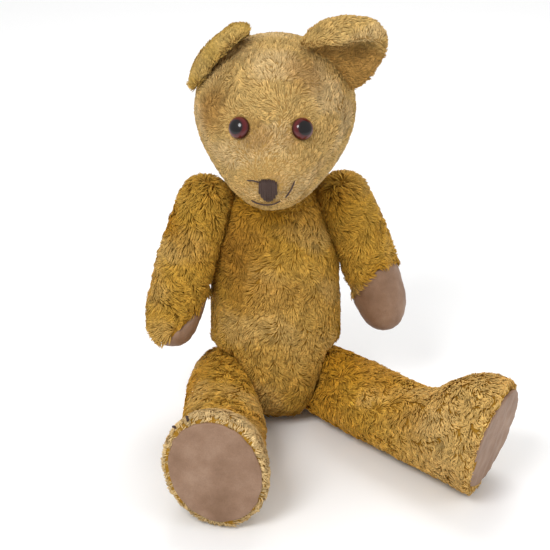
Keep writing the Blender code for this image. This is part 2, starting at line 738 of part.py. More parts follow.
def build_eye(prefix, side, skin, stuffing):
    """A glass eye with a wire loop on its back, which is sewn in through the plush."""
    place = eye_place(side)
    seat = -EYE_BACK
    carve(skin, prism(circle(EYE_RADIUS + GAP, 16), place, seat - GAP, CUT_DEPTH))
    carve(skin, prism(circle(SHANK_HOLE, 10), place, -CUT_DEPTH, CUT_DEPTH))
    carve(stuffing, prism(circle(SHANK_HOLE * 2, 10), place, -SHANK_DEPTH * 1.5, CUT_DEPTH))
    glass = new_object(f"{prefix}_eye_glass", eye_dome(place, seat), place.translation)
    coloured(glass, RED_GLASS, 0.05)
    bend = arc((0, seat - SHANK_DEPTH), SHANK_LOOP, 0, -pi, 6)
    loop = [(SHANK_NECK, seat - GAP), (SHANK_NECK, seat - SHANK_DEPTH * 0.7)] + bend
    loop += [(-SHANK_NECK, seat - SHANK_DEPTH * 0.7), (-SHANK_NECK, seat - GAP)]
    wire = tube([place @ Vector((x, 0, z)) for x, z in loop], SHANK_WIRE, 5)
    coloured(new_object(f"{prefix}_eye_wire", wire, place.translation), STEEL, 0.4, 1.0)


def build_nose():
    """A shield of upright satin stitches on the tip of the muzzle."""
    tip = on_head(0, NOSE_RISE)
    place = frame(tip, head_vector(*NOSE_FACING), head_vector(0, 0, 1))
    nose = head_solid("nose_stitching", -GAP - NOSE_THICKNESS, HEAD_RING * 2, HEAD_ROWS * 2)
    carve(nose, mesh_of(head_solid("nose_back", -GAP * 2, HEAD_RING, HEAD_ROWS)))
    carve(nose, prism(NOSE_OUTLINE, place, -CUT_DEPTH, CUT_DEPTH), "INTERSECT")
    coloured(nose, BROWN_THREAD, 0.7)


def build_mouth():
    """One long thread under the nose, turned up into a smile on the bear's left."""
    points = [on_head(radians(turn), radians(rise), THREAD_RISE) for turn, rise in MOUTH_ROUTE]
    mouth = new_object("mouth_stitch", tube(points, THREAD, 6), head_place().translation)
    coloured(mouth, BROWN_THREAD, 0.8)


def build_head():
    skin = head_solid("head_skin", 0, HEAD_RING, HEAD_ROWS)
    carve(skin, mesh_of(head_solid("head_inside", SKIN, CORE_RING, HEAD_CORE_ROWS)))
    carve(skin, pin_hole(neck_place()))
    stuffing = head_solid("head_stuffing", CORE_INSET, CORE_RING, HEAD_CORE_ROWS)
    carve(stuffing, joint_pocket(neck_place(), NECK_DISC_RADIUS, 1))
    carve(stuffing, pin_room(neck_place()))
    for prefix, side in (("left", 1), ("right", -1)):
        build_eye(prefix, side, skin, stuffing)
    coloured(skin, FADED_PLUSH, 0.95)
    coloured(stuffing, WOOD_WOOL, 0.9)
    build_ear("left_ear", LEFT_EAR)
    build_ear("right_ear", RIGHT_EAR)
    build_nose()
    build_mouth()
    joint_hardware("neck", "head", neck_place(), NECK_DISC_RADIUS)


def surface_of_leg(side, along, angle, out):
    """A point just above the leg's plush: angle 0 is over the toes, positive is to the bear's left."""
    rows = smooth_stations(LEG_STATIONS, 8)
    s, w, d, offset = min(rows, key=lambda row: abs(row[0] - along))
    x = -(w + out) * sin(angle)
    return leg_place(side) @ Vector((x, offset + (d + out) * cos(angle), along))


def build_claws():
    """The two claw stitches that are left, over the toes of the right foot."""
    for count, angle in enumerate(CLAW_ANGLES):
        points = [surface_of_leg(-1, s, angle, THREAD_RISE) for s in CLAW_ALONG]
        claw = new_object(f"right_claw_stitch_{count + 1}", tube(points, THREAD, 6), points[1])
        coloured(claw, BROWN_THREAD, 0.8)


def main():
    for obj in list(bpy.data.objects):
        bpy.data.objects.remove(obj)
    build_torso()
    build_head()
    for prefix, side in (("left", 1), ("right", -1)):
        build_arm(prefix, side)
        build_leg(prefix, side)
    build_claws()


main()
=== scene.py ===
"""The looks of a seated, jointed teddy bear in worn golden mohair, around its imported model.

Each plush skin is a closed stuffed shell, wrapped over the CAD solid it stands for and puffed by a
cloth simulation. The pile is real geometry: thousands of tapered, curved locks that lie over each
other in tufts. Metres, +Z up, the bear faces -Y.
"""

import json
from math import ceil, cos, pi, radians, sin

import bmesh
import bpy
import numpy as np
from mathutils import Matrix, Vector
from mathutils.bvhtree import BVHTree
from mathutils.kdtree import KDTree


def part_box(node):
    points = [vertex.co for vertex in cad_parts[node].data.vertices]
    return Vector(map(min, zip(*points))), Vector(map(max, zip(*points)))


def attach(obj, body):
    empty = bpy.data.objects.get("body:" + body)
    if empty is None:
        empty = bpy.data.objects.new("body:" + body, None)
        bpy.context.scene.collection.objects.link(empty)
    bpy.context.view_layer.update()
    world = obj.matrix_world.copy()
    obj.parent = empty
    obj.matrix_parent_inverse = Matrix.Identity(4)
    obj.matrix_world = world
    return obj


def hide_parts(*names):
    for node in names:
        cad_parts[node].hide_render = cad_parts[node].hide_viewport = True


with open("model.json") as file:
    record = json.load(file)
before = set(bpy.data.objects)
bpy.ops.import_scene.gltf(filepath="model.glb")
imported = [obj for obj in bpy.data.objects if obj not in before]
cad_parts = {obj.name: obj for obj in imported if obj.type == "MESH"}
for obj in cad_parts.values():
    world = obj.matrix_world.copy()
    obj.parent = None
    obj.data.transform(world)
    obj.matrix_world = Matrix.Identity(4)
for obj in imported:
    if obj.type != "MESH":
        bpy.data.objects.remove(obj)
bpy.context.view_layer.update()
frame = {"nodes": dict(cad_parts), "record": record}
UP = Vector((0, 0, 1))
MM = 0.001


# ---------------------------------------------------------------- camera, light and floor
CAMERA_AZIMUTH = radians(-4)
CAMERA_ELEVATION = radians(25)
CAMERA_DISTANCE = 1.2
CAMERA_TARGET = Vector((0, 0, 0.114))
CAMERA_LENS = 103.4
CAMERA_SHIFT = (-0.0018, 0.0)


def add_object(name, data):
    made = bpy.data.objects.new(name, data)
    bpy.context.collection.objects.link(made)
    return made


def make_camera():
    data = bpy.data.cameras.new("camera")
    data.lens = CAMERA_LENS
    data.shift_x, data.shift_y = CAMERA_SHIFT
    camera = add_object("camera", data)
    flat = cos(CAMERA_ELEVATION)
    out = Vector((sin(CAMERA_AZIMUTH) * flat, -cos(CAMERA_AZIMUTH) * flat, sin(CAMERA_ELEVATION)))
    camera.location = CAMERA_TARGET + out * CAMERA_DISTANCE
    camera.rotation_euler = (-out).to_track_quat("-Z", "Y").to_euler()
    bpy.context.scene.camera = camera


def area_light(name, place, size, power, mirrored):
    data = bpy.data.lights.new(name, "AREA")
    data.shape = "DISK"
    data.size = size
    data.energy = power
    light = add_object(name, data)
    light.location = place
    light.visible_glossy = mirrored
    light.rotation_euler = (CAMERA_TARGET - Vector(place)).to_track_quat("-Z", "Y").to_euler()


LIGHTS = (
    ("key_light", (-0.9, -1.3, 1.7), 0.9, 26, True),
    ("fill_light", (1.6, -0.9, 1.0), 1.4, 9, False),
    ("top_light", (0.2, 0.9, 1.8), 1.2, 14, False),
)
WORLD_STRENGTH = 0.64
FLOOR_COLOUR = (0.95, 0.95, 0.95)
FLOOR_HALF_SIDE = 6


def make_light():
    bpy.context.scene.view_settings.view_transform = "Standard"
    world = bpy.data.worlds.new("studio")
    world.use_nodes = True
    background = world.node_tree.nodes["Background"]
    background.inputs["Color"].default_value = (1, 1, 1, 1)
    background.inputs["Strength"].default_value = WORLD_STRENGTH
    bpy.context.scene.world = world
    for name, place, size, power, mirrored in LIGHTS:
        area_light(name, place, size, power, mirrored)


def make_floor():
    bm = bmesh.new()
    bmesh.ops.create_grid(bm, x_segments=4, y_segments=4, size=FLOOR_HALF_SIDE)
    mesh = bpy.data.meshes.new("floor")
    bm.to_mesh(mesh)
    bm.free()
    floor = add_object("floor", mesh)
    material, _ = new_material("floor", FLOOR_COLOUR, 0.3)
    floor.data.materials.append(material)


# ---------------------------------------------------------------- materials
def new_material(name, colour, roughness, sheen=0.0, coat=0.0, metallic=0.0, gloss=0.5):
    material = bpy.data.materials.new(name)
    material.use_nodes = True
    shader = material.node_tree.nodes["Principled BSDF"]
    shader.inputs["Base Color"].default_value = (*colour, 1)
    shader.inputs["Roughness"].default_value = roughness
    shader.inputs["Sheen Weight"].default_value = sheen
    shader.inputs["Sheen Roughness"].default_value = 0.4
    shader.inputs["Coat Weight"].default_value = coat
    shader.inputs["Coat Roughness"].default_value = 0.03
    shader.inputs["Metallic"].default_value = metallic
    shader.inputs["Specular IOR Level"].default_value = gloss
    return material, shader


def node(material, kind, **inputs):
    made = material.node_tree.nodes.new(kind)
    for key, value in inputs.items():
        made.inputs[key.replace("_", " ")].default_value = value
    return made


def link(material, source, target):
    material.node_tree.links.new(source, target)


def noise_node(material, scale, detail=3.0, roughness=0.55):
    coordinates = node(material, "ShaderNodeTexCoord")
    noise = node(material, "ShaderNodeTexNoise", Scale=scale, Detail=detail, Roughness=roughness)
    link(material, coordinates.outputs["Object"], noise.inputs["Vector"])
    return noise.outputs["Fac"]


def ramp(material, source, stops):
    """A colour ramp of (place, colour) stops."""
    made = node(material, "ShaderNodeValToRGB")
    elements = made.color_ramp.elements
    for i, (place, colour) in enumerate(stops):
        element = elements[i] if i < 2 else elements.new(place)
        element.position = place
        element.color = (*colour, 1)
    link(material, source, made.inputs["Fac"])
    return made.outputs["Color"]


def mixed(material, factor, a, b, blend="MIX"):
    """Mixes two colours, each a socket or a tuple, by a socket or number."""
    made = node(material, "ShaderNodeMix")
    made.data_type = "RGBA"
    made.blend_type = blend
    for value, socket in ((factor, made.inputs[0]), (a, made.inputs[6]), (b, made.inputs[7])):
        if isinstance(value, bpy.types.NodeSocket):
            link(material, value, socket)
        elif isinstance(value, tuple):
            socket.default_value = (*value, 1)
        else:
            socket.default_value = value
    return made.outputs[2]


def bumped(material, shader, height, strength, distance):
    bump = node(material, "ShaderNodeBump", Strength=strength, Distance=distance)
    link(material, height, bump.inputs["Height"])
    link(material, bump.outputs["Normal"], shader.inputs["Normal"])


def pile_material():
    """Every lock carries its own tone with painted shade, darker at its root and lighter at its tip,
    and fine noise breaks it up along its length.
    """
    material, shader = new_material("mohair_pile", (0.6, 0.4, 0.1), 0.6, gloss=0.1)
    tone = node(material, "ShaderNodeAttribute")
    tone.attribute_name = "tone"
    streaks = ramp(
        material, noise_node(material, 900), ((0.3, (0.80, 0.78, 0.74)), (0.7, (1.12, 1.12, 1.12)))
    )
    colour = mixed(material, 1.0, tone.outputs["Color"], streaks, "MULTIPLY")
    link(material, colour, shader.inputs["Base Color"])
    return material


def backing_material(name, dark, light):
    """The woven ground of the plush, deep between the locks."""
    material, shader = new_material(name, dark, 0.9, gloss=0.1)
    weave = noise_node(material, 700)
    stops = ((0.3, dark), (0.7, light))
    link(material, ramp(material, weave, stops), shader.inputs["Base Color"])
    bumped(material, shader, weave, 0.5, 0.0008)
    return material


def leathercloth_material():
    """Matt coated cloth, soiled in soft clouds and finely creased."""
    material, shader = new_material("leathercloth", (0.26, 0.15, 0.09), 0.55, sheen=0.03, gloss=0.3)
    clouds = ramp(
        material,
        noise_node(material, 45, 4.0, 0.6),
        ((0.30, (0.21, 0.118, 0.068)), (0.52, (0.275, 0.163, 0.102)), (0.75, (0.35, 0.225, 0.150))),
    )
    grain = noise_node(material, 1400, 2.0)
    speckle = ramp(material, grain, ((0.3, (0.90, 0.90, 0.90)), (0.7, (1.06, 1.06, 1.06))))
    link(material, mixed(material, 1.0, clouds, speckle, "MULTIPLY"), shader.inputs["Base Color"])
    bumped(material, shader, grain, 0.25, 0.0003)
    return material


def thread_material(name, dark, light):
    material, shader = new_material(name, dark, 0.6, sheen=0.04, gloss=0.3)
    twist = node(material, "ShaderNodeTexWave", Scale=420, Distortion=2.0)
    coordinates = node(material, "ShaderNodeTexCoord")
    link(material, coordinates.outputs["Object"], twist.inputs["Vector"])
    stops = ((0.2, dark), (0.8, light))
    link(material, ramp(material, twist.outputs["Fac"], stops), shader.inputs["Base Color"])
    return material


def textured(name, dark, light, scale, roughness, metallic=0.0):
    material, shader = new_material(name, dark, roughness, metallic=metallic)
    noise = noise_node(material, scale)
    link(material, ramp(material, noise, ((0.3, dark), (0.7, light))), shader.inputs["Base Color"])
    bumped(material, shader, noise, 0.3, 0.0004)
    return material


# ---------------------------------------------------------------- smooth noise in numpy
def waves(points, size, seed):
    """Smooth noise of about -1 to 1 at each point, with features of about this size."""
    rng = np.random.default_rng(seed)
    total = np.zeros(len(points))
    for _ in range(10):
        direction = rng.normal(size=3)
        direction /= np.linalg.norm(direction)
        rate = 2 * pi / (size * rng.uniform(0.7, 1.8))
        total += np.sin(points @ direction * rate + rng.uniform(0, 2 * pi))
    return total / np.sqrt(10)


def unit(vectors):
    return vectors / np.maximum(np.linalg.norm(vectors, axis=1), 1e-9)[:, None]


def tangent(vectors, normals):
    """The part of each vector that lies in its surface."""
    return unit(vectors - normals * np.sum(vectors * normals, axis=1)[:, None])


def smooth_step(low, high, value):
    """Rises smoothly from 0 at low to 1 at high, which may be the smaller one."""
    t = np.clip((value - low) / (high - low), 0, 1)
    return t * t * (3 - 2 * t)


# ---------------------------------------------------------------- shells over the CAD
def node_tree_of(*names):
    verts, faces = [], []
    for name in names:
        mesh = frame["nodes"][name].data
        start = len(verts)
        verts += [v.co.copy() for v in mesh.vertices]
        faces += [[start + i for i in p.vertices] for p in mesh.polygons]
    return BVHTree.FromPolygons(verts, faces), np.array([tuple(v) for v in verts])


def long_axis(points):
    """The middle, the direction and the half length of a long piece."""
    spread = np.linalg.eigh(np.cov((points - points.mean(0)).T))[1][:, 2]
    along = (points - points.mean(0)) @ spread
    middle = points.mean(0) + spread * (along.min() + along.max()) / 2
    half = (along.max() - along.min()) / 2
    return Vector(middle), Vector(spread), half


RAY_START = 0.3
SLIPPED = 2.5 * MM


def wrap(name, nodes, start, end, ring, rows, cap_rows, inset=0.0, hint=UP):
    """A closed grid shrunk onto CAD nodes by rays to the line from start to end."""
    tree, _ = node_tree_of(*nodes)
    along = (end - start).normalized()
    side = along.cross(hint).normalized()
    front = side.cross(along)
    plan = []
    for j in range(1, cap_rows):
        tilt = pi / 2 * j / cap_rows
        plan.append((start, -along * cos(tilt), sin(tilt)))
    for j in range(rows + 1):
        plan.append((start.lerp(end, j / max(rows, 1)), Vector((0, 0, 0)), 1.0))
    for j in range(cap_rows - 1, 0, -1):
        tilt = pi / 2 * j / cap_rows
        plan.append((end, along * cos(tilt), sin(tilt)))
    reach = np.zeros((len(plan) + 2, ring))
    bases, ways = [], []
    for j, (base, lean, out) in enumerate([(start, -along, 0)] + plan + [(end, along, 0)]):
        for k in range(ring):
            turn = 2 * pi * k / ring
            way = (lean + (side * cos(turn) + front * sin(turn)) * out).normalized()
            hit = tree.ray_cast(base + way * RAY_START, -way)[0]
            reach[j, k] = (hit - base).length if hit else 0
            bases.append(base)
            ways.append(way)
    for _ in range(2):
        reach = mended(reach)
    reach = np.maximum(reach - inset, 0.001).ravel()
    count = len(plan) + 2
    points = [base + way * r for base, way, r in zip(bases, ways, reach)]
    bm = bmesh.new()
    low = bm.verts.new(points[0])
    rings = [[bm.verts.new(p) for p in points[j * ring:(j + 1) * ring]] for j in range(1, count - 1)]
    high = bm.verts.new(points[-1])
    bridge_rings(bm, rings)
    for k in range(ring):
        bm.faces.new((rings[0][k], low, rings[0][(k + 1) % ring]))
        bm.faces.new((rings[-1][k], rings[-1][(k + 1) % ring], high))
    bmesh.ops.recalc_face_normals(bm, faces=bm.faces)
    return new_piece(name, bm)


def mended(reach):
    """Rays that slipped into a gap or a pin hole take their neighbours' length."""
    near = [np.roll(reach, s, axis=1) for s in (-2, -1, 1, 2)]
    near += [np.vstack((reach[1:], reach[-1:])), np.vstack((reach[:1], reach[:-1]))]
    usual = np.median(np.stack(near), axis=0)
    return np.where(reach < usual - SLIPPED, usual, reach)


def bridge_rings(bm, rings):
    """Quads between each closed ring of vertices and the next."""
    for a, b in zip(rings, rings[1:]):
        for k in range(len(a)):
            after = (k + 1) % len(a)
            bm.faces.new((a[k], a[after], b[after], b[k]))


def points_of(mesh):
    return np.array([tuple(v.co) for v in mesh.vertices])


def normals_of(mesh):
    return np.array([tuple(v.normal) for v in mesh.vertices])


def move_points(mesh, points):
    mesh.vertices.foreach_set("co", points.ravel())
    mesh.update()


def settle(piece, material, body, replaced):
    """Gives a piece its material, its body and the nodes it stands for."""
    piece.data.materials.append(material)
    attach(piece, body)
    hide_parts(*replaced)


def new_piece(name, bm, smooth=True):
    mesh = bpy.data.meshes.new(name)
    bm.to_mesh(mesh)
    bm.free()
    if smooth:
        mesh.shade_smooth()
    return add_object(name, mesh)


def relax(piece, times, factor=0.5):
    smooth = piece.modifiers.new("relax", "SMOOTH")
    smooth.iterations = times
    smooth.factor = factor
    apply_modifiers(piece)


def apply_modifiers(piece):
    graph = bpy.context.evaluated_depsgraph_get()
    graph.update()
    mesh = bpy.data.meshes.new_from_object(piece.evaluated_get(graph))
    piece.modifiers.clear()
    old = piece.data
    piece.data = mesh
    bpy.data.meshes.remove(old)
    mesh.name = piece.name


PUFF_PRESSURE = 4
PUFF_STIFFNESS = 8
PUFF_BENDING = 0.3
PUFF_FRAMES = 20


def stuffed(piece, cap):
    """Puffs a closed shell with cloth simulation, and caps how far each point may move."""
    start = points_of(piece.data)
    cloth = piece.modifiers.new("stuffing", "CLOTH")
    settings = cloth.settings
    settings.use_pressure = True
    settings.uniform_pressure_force = PUFF_PRESSURE
    settings.effector_weights.gravity = 0
    settings.quality = 5
    settings.tension_stiffness = PUFF_STIFFNESS
    settings.compression_stiffness = PUFF_STIFFNESS
    settings.bending_stiffness = PUFF_BENDING
    cloth.collision_settings.use_collision = False
    scene = bpy.context.scene
    scene.frame_start, scene.frame_end = 1, PUFF_FRAMES
    for step in range(1, PUFF_FRAMES + 1):
        scene.frame_set(step)
    apply_modifiers(piece)
    moved = points_of(piece.data) - start
    far = np.linalg.norm(moved, axis=1)
    moved *= np.minimum(1, cap / np.maximum(far, 1e-9))[:, None]
    move_points(piece.data, start + moved)
    scene.frame_set(1)


class Surface:
    """The triangles of a piece, ready for sampling."""

    def __init__(self, piece):
        mesh = piece.data
        mesh.calc_loop_triangles()
        self.points = points_of(mesh)
        self.normals = normals_of(mesh)
        self.triangles = np.array([tuple(t.vertices) for t in mesh.loop_triangles])

    def samples(self, count, rng):
        """Evenly spread points on the surface with their normals."""
        a, b, c = (self.points[self.triangles[:, i]] for i in range(3))
        area = np.linalg.norm(np.cross(b - a, c - a), axis=1)
        total = np.cumsum(area)
        picks = (np.arange(count) + rng.random(count)) / count * total[-1]
        chosen = np.minimum(np.searchsorted(total, picks), len(area) - 1)
        u, v = rng.random(count), rng.random(count)
        flip = u + v > 1
        u[flip], v[flip] = 1 - u[flip], 1 - v[flip]
        w = 1 - u - v
        corners = self.triangles[chosen]

        def mix(rows):
            first, second, third = (rows[corners[:, i]] for i in range(3))
            return first * w[:, None] + second * u[:, None] + third * v[:, None]

        return mix(self.points), unit(mix(self.normals))


# ---------------------------------------------------------------- pile
RINGS = (0.0, 0.36, 0.72)
RING_WIDTH = (0.75, 1.0, 0.72)
SIDES = 3
FLATNESS = 0.62


def lock_mesh(name, root, bend, tip, normal, width, tone, root_to_tip):
    """One mesh of closed, tapered, curved locks from arrays of their roots, bends and tips."""
    count = len(root)
    per_lock = len(RINGS) * SIDES + 1
    verts = np.empty((count, per_lock, 3))
    for i, (t, share) in enumerate(zip(RINGS, RING_WIDTH)):
        middle = root * (1 - t) ** 2 + bend * (2 * t * (1 - t)) + tip * t * t
        ahead = unit((bend - root) * (1 - t) + (tip - bend) * t)
        side = unit(np.cross(ahead, normal))
        over = np.cross(side, ahead)
        for k in range(SIDES):
            turn = 2 * pi * (k + 0.25) / SIDES
            offset = side * cos(turn) + over * (sin(turn) * FLATNESS)
            verts[:, i * SIDES + k] = middle + offset * (width * share)[:, None]
    verts[:, -1] = tip
    low = verts[:, :, 2]
    np.maximum(low, FLOOR_CLEARANCE, out=low)
    pattern = [(2, 1, 0)]
    for i in range(len(RINGS) - 1):
        for k in range(SIDES):
            after = (k + 1) % SIDES
            a, b, c, d = i * SIDES + k, i * SIDES + after, (i + 1) * SIDES + after, (i + 1) * SIDES + k
            pattern += [(a, b, c), (a, c, d)]
    last = (len(RINGS) - 1) * SIDES
    for k in range(SIDES):
        pattern.append((last + k, last + (k + 1) % SIDES, per_lock - 1))
    pattern = np.array(pattern)
    faces = (np.arange(count)[:, None, None] * per_lock + pattern[None]).reshape(-1, 3)
    mesh = bpy.data.meshes.new(name)
    mesh.vertices.add(count * per_lock)
    mesh.vertices.foreach_set("co", verts.reshape(-1))
    mesh.loops.add(faces.size)
    mesh.loops.foreach_set("vertex_index", faces.reshape(-1).astype(np.int32))
    mesh.polygons.add(len(faces))
    mesh.polygons.foreach_set("loop_start", np.arange(0, faces.size, 3, dtype=np.int32))
    mesh.update(calc_edges=True)
    mesh.shade_smooth()
    # painted shade and light: each ring's colour is scaled by its factor, darker at the root and
    # lighter at the tip
    shade = np.concatenate([np.full(SIDES, s) for s in root_to_tip[:-1]] + [[root_to_tip[-1]]])
    colours = np.ones((count, per_lock, 4))
    colours[:, :, :3] = tone[:, None, :] * shade[None, :, None]
    attribute = mesh.color_attributes.new("tone", "FLOAT_COLOR", "POINT")
    attribute.data.foreach_set("color", colours.reshape(-1))
    return add_object(name, mesh)


FLOOR_CLEARANCE = 0.0002
LOCKS_PER_PIECE = 12000


def nearest(centres, points):
    tree = KDTree(len(centres))
    for i, centre in enumerate(centres):
        tree.insert(centre, i)
    tree.balance()
    return np.array([tree.find(p)[1] for p in points])


def pile(name, body, surface, count, rules, seed):
    """Locks over a surface. rules gives functions of points and normals, and a few sizes."""
    rng = np.random.default_rng(seed)
    points, normals = surface.samples(count, rng)
    kept = rules["where"](points, normals)
    points, normals = points[kept], normals[kept]
    tufts, tuft_normals = surface.samples(max(int(count / rules["per_tuft"]), 4), rng)
    flow = rules["flow"]
    size = rules["length"](points)
    swirl = rules["swirl"]

    def heading(at, up):
        base = tangent(flow(at, up), up)
        angle = swirl * (0.75 * waves(at, 0.030, seed + 1) + 0.65 * waves(at, 0.011, seed + 2))
        return base * np.cos(angle)[:, None] + np.cross(up, base) * np.sin(angle)[:, None]

    way = heading(points, normals)
    own = rng.normal(0, rules["stray"], len(points))
    way = way * np.cos(own)[:, None] + np.cross(normals, way) * np.sin(own)[:, None]
    tuft = nearest(tufts, points)
    tuft_way = heading(tufts, tuft_normals)
    tuft_lift = rng.uniform(0.10, 0.42, len(tufts)) * rules["lift"]
    tuft_tone = rng.normal(1, 0.12, len(tufts))
    length = size * rng.uniform(0.75, 1.15, len(points))
    tip = points + way * (length * 0.88)[:, None] + normals * (length * 0.16)[:, None]
    lift = (size * tuft_lift[tuft])[:, None]
    gather = tufts[tuft] + tuft_way[tuft] * (size * 0.85)[:, None] + tuft_normals[tuft] * lift
    pull = np.clip(rng.normal(rules["clump"], 0.15, len(points)), 0, 0.95)[:, None]
    tip = tip * (1 - pull) + gather * pull
    up = rng.uniform(0.22, 0.42, len(points)) * rules["lift"]
    bend = points + way * (length * 0.42)[:, None] + normals * (length * up)[:, None]
    sway = rng.normal(0, 0.10, len(points)) * length
    bend = bend + np.cross(normals, way) * sway[:, None]
    root = points - normals * (0.6 * MM)
    width = rules["width"] * rng.uniform(0.7, 1.25, len(points))
    own_tone = tuft_tone[tuft] * rng.normal(1, 0.07, len(points))
    tone = rules["tone"](points, normals) * own_tone[:, None]
    tone = np.clip(tone, 0.005, 0.95)
    bands = ceil(len(points) / LOCKS_PER_PIECE)
    for i, band in enumerate(np.array_split(np.argsort(points[:, 2]), bands)):
        label = f"{name}_{i + 1}" if bands > 1 else name
        arrays = [values[band] for values in (root, bend, tip, normals, width, tone)]
        piece = lock_mesh(label, *arrays, rules["root_to_tip"])
        piece.data.materials.append(PILE)
        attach(piece, body)


# ---------------------------------------------------------------- where things are
JOINTS = {joint["child"]: joint for joint in frame["record"]["behaviour"]["joints"]}
NECK = Vector(JOINTS["head"]["pos_m"])
NECK_AXIS = Vector(JOINTS["head"]["axis"])
HEAD_RISE = 0.055
HEAD_FORWARD = 0.004
HEAD_TURN = radians(-7)
HEAD_NOD = radians(9)
HEAD = (
    Matrix.Translation(NECK + NECK_AXIS * HEAD_RISE)
    @ Matrix.Rotation(HEAD_TURN, 4, "Z")
    @ Matrix.Rotation(HEAD_NOD, 4, "X")
    @ Matrix.Translation(Vector((0, -HEAD_FORWARD, 0)))
)
HEAD_CENTRE = HEAD.translation
SKIN_INSET = 0.0022
LEG_INSET = 0.0012
PILE = pile_material()
BACKING = backing_material("plush_backing", (0.26, 0.125, 0.012), (0.40, 0.21, 0.025))
FACE_BACKING = backing_material("faded_plush_backing", (0.36, 0.21, 0.06), (0.50, 0.31, 0.10))
LEATHER = leathercloth_material()
WOOD_WOOL = textured("wood_wool", (0.42, 0.30, 0.14), (0.68, 0.54, 0.32), 260, 0.9)
CARD = textured("card", (0.38, 0.30, 0.19), (0.50, 0.41, 0.28), 600, 0.9)
THREAD = thread_material("brown_thread", (0.032, 0.017, 0.013), (0.085, 0.050, 0.040))


def head_way(x, y, z):
    return HEAD.to_3x3() @ Vector((x, y, z)).normalized()


def plane_of(name):
    """The widest flat side of a CAD node, as its middle and normal."""
    mesh = frame["nodes"][name].data
    groups = {}
    for face in mesh.polygons:
        key = tuple(round(c, 2) + 0.0 for c in face.normal)
        total, centre, normal = groups.get(key, (0, Vector((0, 0, 0)), Vector((0, 0, 0))))
        area = face.area
        groups[key] = (total + area, centre + face.center * area, normal + face.normal * area)
    total, centre, normal = max(groups.values(), key=lambda group: group[0])
    return centre / total, normal.normalized()


def away_from_joint(body, radius, depth):
    """A test that leaves out what lies against the joint of a body."""
    joint = JOINTS[body]
    centre, axis = np.array(joint["pos_m"]), np.array(joint["axis"])

    def test(points):
        offset = points - centre
        height = offset @ axis
        out = np.linalg.norm(offset - height[:, None] * axis, axis=1)
        return ~((np.abs(height) < depth) & (out < radius))

    return test


# ---------------------------------------------------------------- tones
GOLD = np.array((0.62, 0.355, 0.052))
AMBER = np.array((0.54, 0.26, 0.016))
STRAW = np.array((0.69, 0.465, 0.17))
CREAM = np.array((0.74, 0.54, 0.27))
# Brown for real stains on the head, and for painted shade beside the arm and in the ear's hollow.
STAIN_AND_SHADE_BROWN = np.array((0.37, 0.165, 0.022))
OLIVE = np.array((0.50, 0.32, 0.045))


def blend_tone(a, b, share):
    return a * (1 - share[:, None]) + b * share[:, None]


def spot(points, centre, radius):
    away = np.linalg.norm(points - np.array(centre), axis=1)
    return 1 - smooth_step(radius * 0.3, radius, away)


def body_tone(points, normals):
    """Golden, with paler worn places and amber ones where the pile is deep or shaded."""
    worn = smooth_step(-0.2, 1.1, waves(points, 0.040, 11))
    tone = blend_tone(np.tile(GOLD, (len(points), 1)), STRAW, worn * 0.55)
    deep = smooth_step(0.3, 1.3, waves(points, 0.055, 12))
    return blend_tone(tone, AMBER, deep * 0.6)


SHADED_CHEST = ((-0.045, -0.035, 0.150), 0.055)
WORN_BELLY = ((0.01, -0.045, 0.09), 0.07)


def torso_tone(points, normals):
    """Amber under the chin, painted shade in brown beside the arm and paler on the belly."""
    tone = body_tone(points, normals)
    collar = smooth_step(0.145, 0.185, points[:, 2])
    tone = blend_tone(tone, AMBER, collar * 0.65)
    # painted shade: brown beside the arm, where the chest lies in shadow
    tone = blend_tone(tone, STAIN_AND_SHADE_BROWN, spot(points, *SHADED_CHEST) * 0.85)
    return blend_tone(tone, STRAW, spot(points, *WORN_BELLY) * 0.35)


LEG_GAIN = 1.14
HIP_AMBER = {"left_leg": 0.55, "right_leg": 0.15}
FOOT_FADING = {"left_leg": 0.15, "right_leg": 0.85}


def leg_tone(body):
    centre = np.array(JOINTS[body]["pos_m"])

    def tone(points, normals):
        far = np.linalg.norm(points - centre, axis=1)
        base = body_tone(points, normals)
        near_hip = (1 - smooth_step(0.02, 0.09, far)) * HIP_AMBER[body]
        base = blend_tone(base, AMBER, near_hip)
        base = blend_tone(base, STRAW, smooth_step(0.07, 0.15, far) * 0.6) * LEG_GAIN
        return blend_tone(base, CREAM, smooth_step(0.08, 0.16, far) * FOOT_FADING[body])

    return tone


HEAD_STAINS = (
    ((-0.043, -0.036, 0.022), 0.022, 0.60),
    ((-0.010, -0.062, 0.016), 0.018, 0.50),
    ((0.012, -0.058, 0.012), 0.014, 0.40),
    ((0.022, -0.030, 0.050), 0.022, 0.48),
    ((0.002, -0.078, -0.010), 0.012, 0.35),
)


def head_tone(points, normals):
    local = points_in_head(points)
    tone = np.tile(STRAW, (len(points), 1))
    pale = smooth_step(-0.4, 1.0, waves(points, 0.030, 21))
    tone = blend_tone(tone, CREAM, pale * 0.8)
    for centre, radius, share in HEAD_STAINS:
        tone = blend_tone(tone, STAIN_AND_SHADE_BROWN, spot(local, centre, radius) * share)
    back = smooth_step(0.0, 0.05, local[:, 1])
    return blend_tone(tone, GOLD, back * 0.6)


def above_neck(points):
    return (points - np.array(NECK)) @ np.array(NECK_AXIS)


def points_in_head(points):
    matrix = np.array(HEAD.inverted())
    return points @ matrix[:3, :3].T + matrix[:3, 3]


